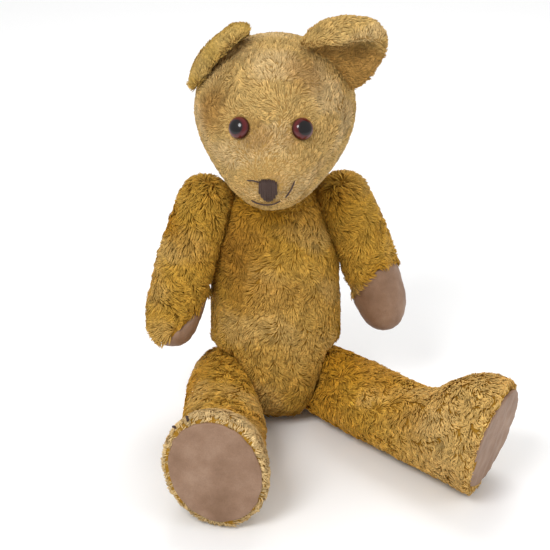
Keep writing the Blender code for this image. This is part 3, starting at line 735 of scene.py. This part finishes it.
# ---------------------------------------------------------------- torso, arms and legs
LOCKS = {"torso": 44000, "arm": 18500, "leg": 30000, "head": 48000, "ear": 9000}
SEEDS = {
    "torso": 101, "left_arm": 201, "right_arm": 202, "left_leg": 301, "right_leg": 303,
    "head": 401, "left_ear": 403, "right_ear": 404,
}
PILE_LENGTH = 0.0078
ARM_PILE_LENGTH = 0.0092
BELLY_EXTRA = 0.0030
NECK_EXTRA = 0.0040
SOLE_SHORTENING = 0.0030
BODY_PUFF = 0.0024
LEG_PUFF = 0.0020
HEAD_PUFF = 0.0015
PAW_PUFF_LEAST = 0.0012
PAW_PUFF_MOST = 0.0022


def skin(body, replaced, shell, cap, backing, reshape=None):
    """Puffs a shell and rides it on its body as the plush's woven ground."""
    stuffed(shell, cap)
    if reshape:
        reshape(shell)
    settle(shell, backing, body, replaced)
    return Surface(shell)


def steady(value):
    return lambda points: np.full(len(points), value)


def body_rules(**changes):
    rules = {
        "where": lambda points, normals: np.full(len(points), True),
        "flow": lambda points, normals: np.tile((0.0, 0.0, -1.0), (len(points), 1)),
        "length": steady(0.0085),
        "per_tuft": 13,
        "swirl": 1.0,
        "stray": 0.22,
        "lift": 0.85,
        "clump": 0.48,
        "width": 0.00047,
        "tone": body_tone,
        # painted shade at the roots of the locks and painted light at their tips
        "root_to_tip": (0.78, 0.93, 1.03, 1.12),
        "slot": "golden_plush",
    }
    rules.update(changes)
    return rules


def build_torso():
    low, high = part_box("body_skin")
    centre = (Vector(low) + Vector(high)) / 2
    start = Vector((centre.x, centre.y - 0.004, 0.046))
    end = Vector((centre.x, centre.y + 0.004, 0.146))
    shell = wrap("torso_plush", ["body_skin"], start, end, 60, 28, 9, SKIN_INSET, Vector((0, -1, 0)))
    relax(shell, 3)
    surface = skin("torso", ["body_skin"], shell, BODY_PUFF, BACKING)
    tests = [away_from_joint("head", 0.018, 0.004)]
    for body in ("left_arm", "right_arm"):
        tests.append(away_from_joint(body, 0.013, 0.004))
    for body in ("left_leg", "right_leg"):
        tests.append(away_from_joint(body, 0.016, 0.004))

    def clear(points, normals):
        result = tests[0](points)
        for test in tests[1:]:
            result &= test(points)
        return result

    def flow(points, normals):
        """Down and outwards, and up to the head around the neck."""
        sideways = points[:, 0] * 14
        down = np.stack((sideways - 0.3, np.zeros(len(points)), np.full(len(points), -1.0)), 1)
        rim = smooth_step(-0.011, -0.004, above_neck(points))[:, None]
        return down * (1 - rim) + np.array(NECK_AXIS) * rim * 2

    def length(points):
        low_down = 1 - smooth_step(0.015, 0.065, points[:, 2])
        rim = smooth_step(-0.012, -0.004, above_neck(points))
        return PILE_LENGTH + BELLY_EXTRA * low_down + NECK_EXTRA * rim

    rules = body_rules(where=clear, flow=flow, tone=torso_tone, length=length)
    pile("torso_pile", "torso", surface, LOCKS["torso"], rules, SEEDS["torso"])


def limb_shell(name, nodes, body, ring, rows, cap_rows, end_room, inset):
    _, points = node_tree_of(*nodes)
    middle, along, half = long_axis(points)
    joint = Vector(JOINTS[body]["pos_m"])
    if (middle - joint).dot(along) < 0:
        along = -along
    start = middle - along * (half - end_room[0])
    end = middle + along * (half - end_room[1])
    return wrap(name, nodes, start, end, ring, rows, cap_rows, inset), along


def leather_piece(name, body, replaced, bm, crease):
    """A closed piece of leathercloth with its surface creased by smooth noise."""
    piece = new_piece(name, bm)
    subdivide = piece.modifiers.new("subdivide", "SUBSURF")
    subdivide.levels = 1
    apply_modifiers(piece)
    points = points_of(piece.data)
    normals = normals_of(piece.data)
    height = waves(points, 0.012, 31) * 0.6 + waves(points, 0.005, 32) * 0.4
    points = points + normals * (height * crease)[:, None]
    np.maximum(points[:, 2], FLOOR_CLEARANCE, out=points[:, 2])
    move_points(piece.data, points)
    settle(piece, LEATHER, body, replaced)


def build_arm(prefix):
    body = f"{prefix}_arm"
    nodes = [f"{prefix}_arm_skin", f"{prefix}_paw_pad"]
    shell, along = limb_shell(f"{prefix}_arm_plush", nodes, body, 44, 22, 9, (0.022, 0.020), SKIN_INSET)
    relax(shell, 2)
    surface = skin(body, [nodes[0]], shell, BODY_PUFF, BACKING)
    seam, facing = plane_of(nodes[1])
    facing = -facing
    bm = bmesh.new()
    bm.from_mesh(shell.data)
    everything = list(bm.verts) + list(bm.edges) + list(bm.faces)
    cut = bmesh.ops.bisect_plane(bm, geom=everything, plane_co=seam, plane_no=facing, clear_inner=True)
    edges = [item for item in cut["geom_cut"] if isinstance(item, bmesh.types.BMEdge)]
    bmesh.ops.contextual_create(bm, geom=edges)
    bmesh.ops.recalc_face_normals(bm, faces=bm.faces)
    bm.normal_update()
    for vert in bm.verts:
        depth = (vert.co - seam).dot(facing)
        if depth > 0.0002:
            vert.co += vert.normal * min(PAW_PUFF_LEAST + depth * 0.05, PAW_PUFF_MOST)
    leather_piece(f"{prefix}_paw_leather", body, [nodes[1]], bm, 0.00035)
    centre, normal = np.array(seam), np.array(facing)
    clear = away_from_joint(body, 0.012, 0.004)

    def where(points, normals):
        return clear(points) & ((points - centre) @ normal < -0.0010)

    way = np.array(along) * 0.8 + np.array((0, 0.25, -0.5))
    flow = lambda points, normals: np.tile(way, (len(points), 1))
    rules = body_rules(where=where, flow=flow, swirl=1.2, lift=1.35, length=steady(ARM_PILE_LENGTH))
    pile(f"{prefix}_arm_pile", body, surface, LOCKS["arm"], rules, SEEDS[body])


def outline_of(points, centre, across, upward, count):
    """How far a flat node reaches from its middle, in even turns."""
    x = (points - centre) @ across
    y = (points - centre) @ upward
    turns, reach = np.arctan2(y, x), np.hypot(x, y)
    result = []
    for k in range(count):
        turn = 2 * pi * k / count
        away = np.abs((turns - turn + pi) % (2 * pi) - pi)
        near = reach[away < 0.20]
        result.append(near.max())
    result = np.array(result)
    return (np.roll(result, 1) + 2 * result + np.roll(result, -1)) / 4


SOLE_SHARE = 0.86
SOLE_TILT = {"left": radians(-10), "right": 0.0}
SOLE_SINK = {"left": 0.0036, "right": 0.0}
UNDER_SOLE = 0.0016
RIM_DEPTH = 0.0036


SOLE_RISE = 0.0006
SOLE_EDGE = ((0.94, -0.0030), (1.0, -0.0020), (1.0, -0.0006), (0.985, 0.0003))
SOLE_FACE = (0.95, 0.88, 0.78, 0.66, 0.54, 0.42, 0.30, 0.18, 0.08)
SOLE_PROFILE = SOLE_EDGE + tuple((share, SOLE_RISE) for share in SOLE_FACE)
CARD_PROFILE = ((0.76, -0.0052), (0.78, -0.0049), (0.78, -0.0037), (0.76, -0.0034))
FILLING_DEPTH = 0.0058


def oval_rings(bm, profile, centre, across, upward, facing, reach):
    """Rings of the sole's outline, each with its share of the reach and its height."""
    rings = []
    for share, out in profile:
        ring = []
        for k, r in enumerate(reach):
            turn = 2 * pi * k / len(reach)
            flat = across * cos(turn) + upward * sin(turn)
            ring.append(bm.verts.new(Vector(centre + flat * r * share + facing * out)))
        rings.append(ring)
    return rings


def sole_pad(prefix, along):
    """The foot pad: a nearly flat oval with a rolled edge, let into the plush."""
    name = f"{prefix}_foot_pad"
    _, points = node_tree_of(name)
    outwards = np.array(along)
    tilted = Matrix.Rotation(SOLE_TILT[prefix], 3, "Z") @ along
    facing = np.array(tilted)
    centre = (points.min(0) + points.max(0)) / 2
    centre = centre + outwards * ((points @ outwards).max() - centre @ outwards)
    centre = centre - facing * SOLE_SINK[prefix]
    across = np.array(tilted.cross(UP).normalized())
    upward = np.cross(across, facing)
    reach = outline_of(points, centre, across, upward, 64) * SOLE_SHARE
    bm = bmesh.new()
    rings = oval_rings(bm, SOLE_PROFILE, centre, across, upward, facing, reach)
    bridge_rings(bm, rings)
    bm.faces.new(rings[0])
    tip = bm.verts.new(Vector(centre + facing * SOLE_RISE))
    for k in range(len(reach)):
        bm.faces.new((rings[-1][k], rings[-1][(k + 1) % len(reach)], tip))
    bmesh.ops.recalc_face_normals(bm, faces=bm.faces)
    leather_piece(f"{prefix}_sole_leather", f"{prefix}_leg", [name], bm, 0.0004)
    sole_card(prefix, centre, across, upward, facing, reach)
    leg_filling(prefix, centre, facing)
    return centre, across, upward, facing, reach


def sole_card(prefix, centre, across, upward, facing, reach):
    """The card that stiffens the pad from inside, with a chamfered rim."""
    bm = bmesh.new()
    rings = oval_rings(bm, CARD_PROFILE, centre, across, upward, facing, reach)
    bridge_rings(bm, rings)
    bm.faces.new(rings[0])
    bm.faces.new(rings[-1])
    bmesh.ops.recalc_face_normals(bm, faces=bm.faces)
    card = new_piece(f"{prefix}_sole_card", bm, smooth=False)
    settle(card, CARD, f"{prefix}_leg", [f"{prefix}_insole"])


def leg_filling(prefix, centre, facing):
    """The wood wool in a leg, which ends behind the card."""
    name = f"{prefix}_leg_stuffing"
    bm = bmesh.new()
    bm.from_mesh(frame["nodes"][name].data)
    bmesh.ops.remove_doubles(bm, verts=bm.verts, dist=0.00001)
    everything = list(bm.verts) + list(bm.edges) + list(bm.faces)
    place = Vector(centre - facing * FILLING_DEPTH)
    cut = bmesh.ops.bisect_plane(
        bm, geom=everything, plane_co=place, plane_no=Vector(facing), clear_outer=True
    )
    edges = [item for item in cut["geom_cut"] if isinstance(item, bmesh.types.BMEdge)]
    if edges:
        bmesh.ops.contextual_create(bm, geom=edges)
    bmesh.ops.recalc_face_normals(bm, faces=bm.faces)
    filling = new_piece(f"{prefix}_leg_filling", bm, smooth=False)
    settle(filling, WOOD_WOOL, f"{prefix}_leg", [name])


def build_leg(prefix):
    body = f"{prefix}_leg"
    nodes = [f"{prefix}_leg_skin", f"{prefix}_foot_pad"]
    room = (0.028, 0.024)
    shell, along = limb_shell(f"{prefix}_leg_plush", nodes, body, 56, 34, 12, room, LEG_INSET)
    relax(shell, 2)
    _, facing = plane_of(nodes[1])
    if facing.dot(along) < 0:
        facing = -facing
    centre, across, upward, facing, reach = sole_pad(prefix, facing)

    def room_to_edge(points):
        """How far each point is outside the edge of the pad."""
        offset = points - centre
        x, y = offset @ across, offset @ upward
        turn = np.arctan2(y, x) % (2 * pi)
        edge = np.interp(turn, np.linspace(0, 2 * pi, len(reach) + 1), np.append(reach, reach[0]))
        return np.hypot(x, y) - edge

    def under_the_pad(shell):
        points = points_of(shell.data)
        rise = (points - centre) @ facing + UNDER_SOLE
        inside = smooth_step(0.0070, -0.0015, room_to_edge(points))
        points -= facing * (np.maximum(rise, 0) * inside)[:, None]
        move_points(shell.data, points)

    surface = skin(body, [nodes[0]], shell, LEG_PUFF, BACKING, under_the_pad)
    clear = away_from_joint(body, 0.015, 0.004)

    def off_the_sole(points, normals):
        covered = ((points - centre) @ facing > -RIM_DEPTH) & (room_to_edge(points) < -0.0016)
        return clear(points) & ~covered

    down_the_leg = np.array(along) * 0.75 + np.array((0, 0, -0.7))

    def flow(points, normals):
        """Down the leg, and outwards from the middle of the sole around its edge."""
        offset = points - centre
        near_sole = smooth_step(-0.012, -0.003, offset @ facing)[:, None]
        return down_the_leg * (1 - near_sole) + unit(offset) * near_sole * 1.2

    def length(points):
        near_sole = smooth_step(-0.012, -0.003, (points - centre) @ facing)
        return PILE_LENGTH - SOLE_SHORTENING * near_sole

    rules = body_rules(where=off_the_sole, flow=flow, tone=leg_tone(body), length=length, swirl=1.15)
    pile(f"{prefix}_leg_pile", body, surface, LOCKS["leg"], rules, SEEDS[body])
    return BVHTree.FromObject(shell, bpy.context.evaluated_depsgraph_get())


# ---------------------------------------------------------------- threads
def tube_piece(name, paths, radius, sides, material, body, replaced):
    """Round threads with tapered ends through each path of points."""
    bm = bmesh.new()
    for path in paths:
        rings = []
        side = None
        for i, point in enumerate(path):
            ahead = (path[min(i + 1, len(path) - 1)] - path[max(i - 1, 0)]).normalized()
            side = side or ahead.orthogonal().normalized()
            side = (side - ahead * side.dot(ahead)).normalized()
            other = ahead.cross(side)
            share = 0.55 if i in (0, len(path) - 1) else 1.0
            ring = []
            for k in range(sides):
                turn = 2 * pi * k / sides
                out = side * cos(turn) + other * sin(turn)
                ring.append(bm.verts.new(point + out * radius * share))
            rings.append(ring)
        bridge_rings(bm, rings)
        bm.faces.new(rings[0])
        bm.faces.new(rings[-1])
    bmesh.ops.recalc_face_normals(bm, faces=bm.faces)
    piece = new_piece(name, bm)
    settle(piece, material, body, replaced)


CLAW_RADIUS = 0.0009
CLAW_HEIGHT = (0.0012, 0.0030, 0.0035, 0.0030, 0.0012)
NOSE_THREAD_RADIUS = 0.00062
MOUTH_THREAD_RADIUS = 0.00062


def build_claws(leg_tree):
    """The claw stitches that are left lie on the pile over the toes."""
    for count in (1, 2):
        name = f"right_claw_stitch_{count}"
        _, points = node_tree_of(name)
        middle, way, half = long_axis(points)
        path = []
        for i in range(5):
            near, normal, _, _ = leg_tree.find_nearest(middle + way * half * (i / 2 - 1))
            path.append(near + normal * CLAW_HEIGHT[i])
        made = f"right_claw_thread_{count}"
        tube_piece(made, [path], CLAW_RADIUS, 7, THREAD, "right_leg", [name])


# ---------------------------------------------------------------- head
NOSE_OUTLINE = (
    (-0.0051, 0.0070, -0.0030),
    (-0.0039, 0.0079, -0.0066),
    (-0.0024, 0.0082, -0.0088),
    (-0.0008, 0.0083, -0.0098),
    (0.0008, 0.0086, -0.0098),
    (0.0024, 0.0080, -0.0088),
    (0.0039, 0.0077, -0.0066),
    (0.0051, 0.0066, -0.0030),
)
NOSE_RISE = radians(-11.3)
NOSE_TURN = radians(-0.6)
MOUTH_HEIGHT = 0.0019
MOUTH_ROUTES = (
    ((-9.3, -18.6), (-6.5, -19.6), (-3, -19.8), (1.2, -19.2), (5.3, -17.2)),
    ((7.6, -15.6), (9.2, -13.4), (10.8, -10.8), (12.4, -7.6)),
    ((-11.0, -7.0), (-8.0, -6.4), (-4.6, -6.6)),
)


def on_face(tree, turn, rise, out=0.0):
    way = head_way(cos(rise) * sin(turn), -cos(rise) * cos(turn), sin(rise))
    point, normal, _, _ = tree.ray_cast(HEAD_CENTRE + way * RAY_START, -way)
    return point + normal * out, normal


def eye_frame(name):
    _, points = node_tree_of(name)
    centre = points.mean(0)
    axis = Vector(np.linalg.eigh(np.cov((points - centre).T))[1][:, 0])
    if axis.dot(Vector(centre) - HEAD_CENTRE) < 0:
        axis.negate()
    heights = (points - centre) @ np.array(axis)
    return Vector(centre) + axis * float(heights.min()), axis


EYE_RADIUS = 0.0080
EYE_PROFILE = (
    (0.0, -0.0012), (0.55, -0.0012), (0.90, -0.0008), (1.0, 0.0004), (0.985, 0.0014), (0.93, 0.0026),
    (0.84, 0.0038), (0.72, 0.0048), (0.58, 0.0055), (0.42, 0.0060), (0.24, 0.0063), (0.10, 0.0064),
)


def eye_material():
    """Black pupil and dark red rim under clear glass."""
    material, shader = new_material("eye_glass", (0.02, 0.002, 0.002), 0.3, coat=0.8, gloss=0.1)
    across = node(material, "ShaderNodeAttribute")
    across.attribute_name = "across"
    stops = (
        (0.00, (0.004, 0.003, 0.003)),
        (0.60, (0.005, 0.002, 0.002)),
        (0.68, (0.060, 0.003, 0.004)),
        (0.86, (0.105, 0.006, 0.007)),
        (1.00, (0.022, 0.003, 0.003)),
    )
    link(material, ramp(material, across.outputs["Fac"], stops), shader.inputs["Base Color"])
    return material


def build_eye(prefix, material):
    name = f"{prefix}_eye_glass"
    seat, axis = eye_frame(name)
    side = axis.orthogonal().normalized()
    other = axis.cross(side)
    sides = 32
    bm = bmesh.new()
    back = bm.verts.new(seat + axis * EYE_PROFILE[0][1])
    rings, shares = [], [0.0]
    for share, height in EYE_PROFILE[1:]:
        ring = []
        for k in range(sides):
            turn = 2 * pi * k / sides
            flat = side * cos(turn) + other * sin(turn)
            ring.append(bm.verts.new(seat + flat * EYE_RADIUS * share + axis * height))
            shares.append(share)
        rings.append(ring)
    bridge_rings(bm, rings)
    tip = bm.verts.new(seat + axis * 0.00643)
    shares.append(0.0)
    for k in range(sides):
        bm.faces.new((rings[0][k], back, rings[0][(k + 1) % sides]))
        bm.faces.new((rings[-1][k], rings[-1][(k + 1) % sides], tip))
    bmesh.ops.recalc_face_normals(bm, faces=bm.faces)
    piece = new_piece(f"{prefix}_eye", bm)
    attribute = piece.data.attributes.new("across", "FLOAT", "POINT")
    attribute.data.foreach_set("value", shares)
    settle(piece, material, "head", [name])
    return seat


def build_nose(tree):
    tip, _ = on_face(tree, NOSE_TURN, NOSE_RISE)
    facing = head_way(0, -1, -0.25)
    across = head_way(1, 0, 0)
    upward = across.cross(facing).normalized() * -1
    if upward.z < 0:
        upward.negate()
    paths = []
    steps = 7
    for x, top, bottom in NOSE_OUTLINE:
        for shift in (-0.00044, 0.00044):
            path = []
            for i in range(steps):
                y = top + (bottom - top) * i / (steps - 1)
                start = tip + across * (x + shift) + upward * y + facing * 0.05
                point, normal, _, _ = tree.ray_cast(start, -facing)
                dome = 1 - (2 * i / (steps - 1) - 1) ** 4
                path.append(point + normal * (0.0004 + 0.0016 * dome))
            paths.append(path)
    tube_piece("nose_stitches", paths, NOSE_THREAD_RADIUS, 7, THREAD, "head", ["nose_stitching"])
    return tip


def build_mouth(tree):
    paths = []
    for route in MOUTH_ROUTES:
        spots = [Vector((turn, rise, 0)) for turn, rise in route]
        path = []
        for a, b in zip(spots, spots[1:]):
            for i in range(3):
                step = a.lerp(b, i / 3)
                path.append(on_face(tree, radians(step.x), radians(step.y), MOUTH_HEIGHT)[0])
        path.append(on_face(tree, radians(spots[-1].x), radians(spots[-1].y), MOUTH_HEIGHT)[0])
        paths.append(path)
    tube_piece("mouth_threads", paths, MOUTH_THREAD_RADIUS, 6, THREAD, "head", ["mouth_stitch"])


# Per ear: the share of olive outside, and how strongly painted shade darkens the hollow under the fold.
EAR_TONES = {"left": (0.12, 0.60), "right": (0.60, 0.0)}


def build_ear(prefix):
    name = f"{prefix}_ear"
    source = frame["nodes"][name]
    bm = bmesh.new()
    bm.from_mesh(source.data)
    bmesh.ops.remove_doubles(bm, verts=bm.verts, dist=0.00001)
    shell = new_piece(f"{prefix}_ear_plush", bm)
    remesh = shell.modifiers.new("remesh", "REMESH")
    remesh.mode = "VOXEL"
    remesh.voxel_size = 0.0012
    remesh.use_smooth_shade = True
    apply_modifiers(shell)
    relax(shell, 5)
    settle(shell, FACE_BACKING, "head", [name])
    surface = Surface(shell)
    centre = np.array(HEAD_CENTRE)
    low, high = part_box(name)

    def flow(points, normals):
        return unit(points - centre) + np.array((0, 0, -0.2))

    def where(points, normals):
        return np.linalg.norm(points - centre, axis=1) > 0.0575

    def tone(points, normals):
        """Golden or straw outside, and painted shade in brown in the hollow under the fold."""
        height = (points[:, 2] - low[2]) / (high[2] - low[2])
        # painted shade: the forward-facing lower part of the ear, under the fold, turns brown
        hollow = smooth_step(0.2, 0.7, -normals[:, 1]) * smooth_step(0.66, 0.50, height)
        olive, brown = EAR_TONES[prefix]
        outside = blend_tone(head_tone(points, normals), OLIVE, np.full(len(points), olive))
        return blend_tone(outside, STAIN_AND_SHADE_BROWN, hollow * brown)

    rules = body_rules(
        where=where, flow=flow, tone=tone, length=steady(0.0050), swirl=0.9, width=0.00042,
        per_tuft=10, slot="faded_plush",
    )
    pile(f"{prefix}_ear_pile", "head", surface, LOCKS["ear"], rules, SEEDS[name])


NOSE_HALF_WIDTH = 0.0052
NOSE_HALF_HEIGHT = 0.0086
EYE_CLEARANCE = 0.0006
MUZZLE_PILE_LENGTH = 0.0026
CROWN_EXTRA = 0.0030
NAPE_EXTRA = 0.0050


def build_head():
    start = HEAD_CENTRE + head_way(0, 1, 0) * 0.0001
    end = HEAD_CENTRE + head_way(0, -1, 0) * 0.0001
    shell = wrap("head_plush", ["head_skin"], start, end, 72, 0, 24, SKIN_INSET * 0.8)
    relax(shell, 3)
    surface = skin("head", ["head_skin"], shell, HEAD_PUFF, FACE_BACKING)
    tree = BVHTree.FromObject(shell, bpy.context.evaluated_depsgraph_get())
    glass = eye_material()
    eyes = [np.array(build_eye(prefix, glass)) for prefix in ("left", "right")]
    nose = np.array(build_nose(tree))
    build_mouth(tree)
    clear = away_from_joint("head", 0.020, 0.003)

    def where(points, normals):
        kept = clear(points)
        for eye in eyes:
            kept &= np.linalg.norm(points - eye, axis=1) > EYE_RADIUS + EYE_CLEARANCE
        local = points_in_head(points - nose + np.array(HEAD_CENTRE))
        beside = np.abs(local[:, 0]) < NOSE_HALF_WIDTH
        level = np.abs(local[:, 2]) < NOSE_HALF_HEIGHT
        return kept & ~(beside & level & (local[:, 1] < 0.01))

    def length(points):
        near_nose = np.linalg.norm(points - nose, axis=1)
        size = MUZZLE_PILE_LENGTH + CROWN_EXTRA * smooth_step(0.015, 0.055, near_nose)
        for eye in eyes:
            near_eye = np.linalg.norm(points - eye, axis=1)
            size = size * (0.55 + 0.45 * smooth_step(0.009, 0.018, near_eye))
        nape = smooth_step(0.018, 0.004, above_neck(points)) * smooth_step(0.045, 0.070, near_nose)
        return size + NAPE_EXTRA * nape

    def flow(points, normals):
        """Away from the nose, and down over the neck."""
        away = unit(points - nose)
        away[:, 2] -= 0.15
        nape = smooth_step(0.020, 0.006, above_neck(points)) * smooth_step(0.0, 0.02, points[:, 1])
        return away - np.array(NECK_AXIS) * (nape * 2)[:, None]

    # the root-to-tip factors paint shade at the roots of the locks and light at their tips
    rules = body_rules(
        where=where, flow=flow, tone=head_tone, length=length, width=0.00034, swirl=1.0, per_tuft=11,
        lift=0.9, root_to_tip=(0.74, 0.92, 1.04, 1.12), slot="faded_plush",
    )
    pile("head_pile", "head", surface, LOCKS["head"], rules, SEEDS["head"])
    build_ear("left")
    build_ear("right")


# ---------------------------------------------------------------- what the model carries
def dress(names, material):
    for name in names:
        piece = frame["nodes"][name]
        piece.data.materials.clear()
        piece.data.materials.append(material)


def dress_hidden():
    names = list(frame["nodes"])
    pick = lambda *parts: [name for name in names if any(part in name for part in parts)]
    dress(pick("stuffing"), WOOD_WOOL)
    dress(pick("_disc"), textured("hardboard", (0.20, 0.11, 0.05), (0.33, 0.20, 0.10), 500, 0.8))
    steel = textured("plain_steel", (0.38, 0.38, 0.37), (0.55, 0.55, 0.54), 900, 0.35, 1.0)
    dress(pick("_washer", "_cotter_pin", "_eye_wire"), steel)
    dress(pick("_insole"), CARD)


make_camera()
make_light()
make_floor()
build_torso()
build_head()
for side_name in ("left", "right"):
    build_arm(side_name)
    leg_tree = build_leg(side_name)
build_claws(leg_tree)  # the right leg comes last, and has the claws
dress_hidden()
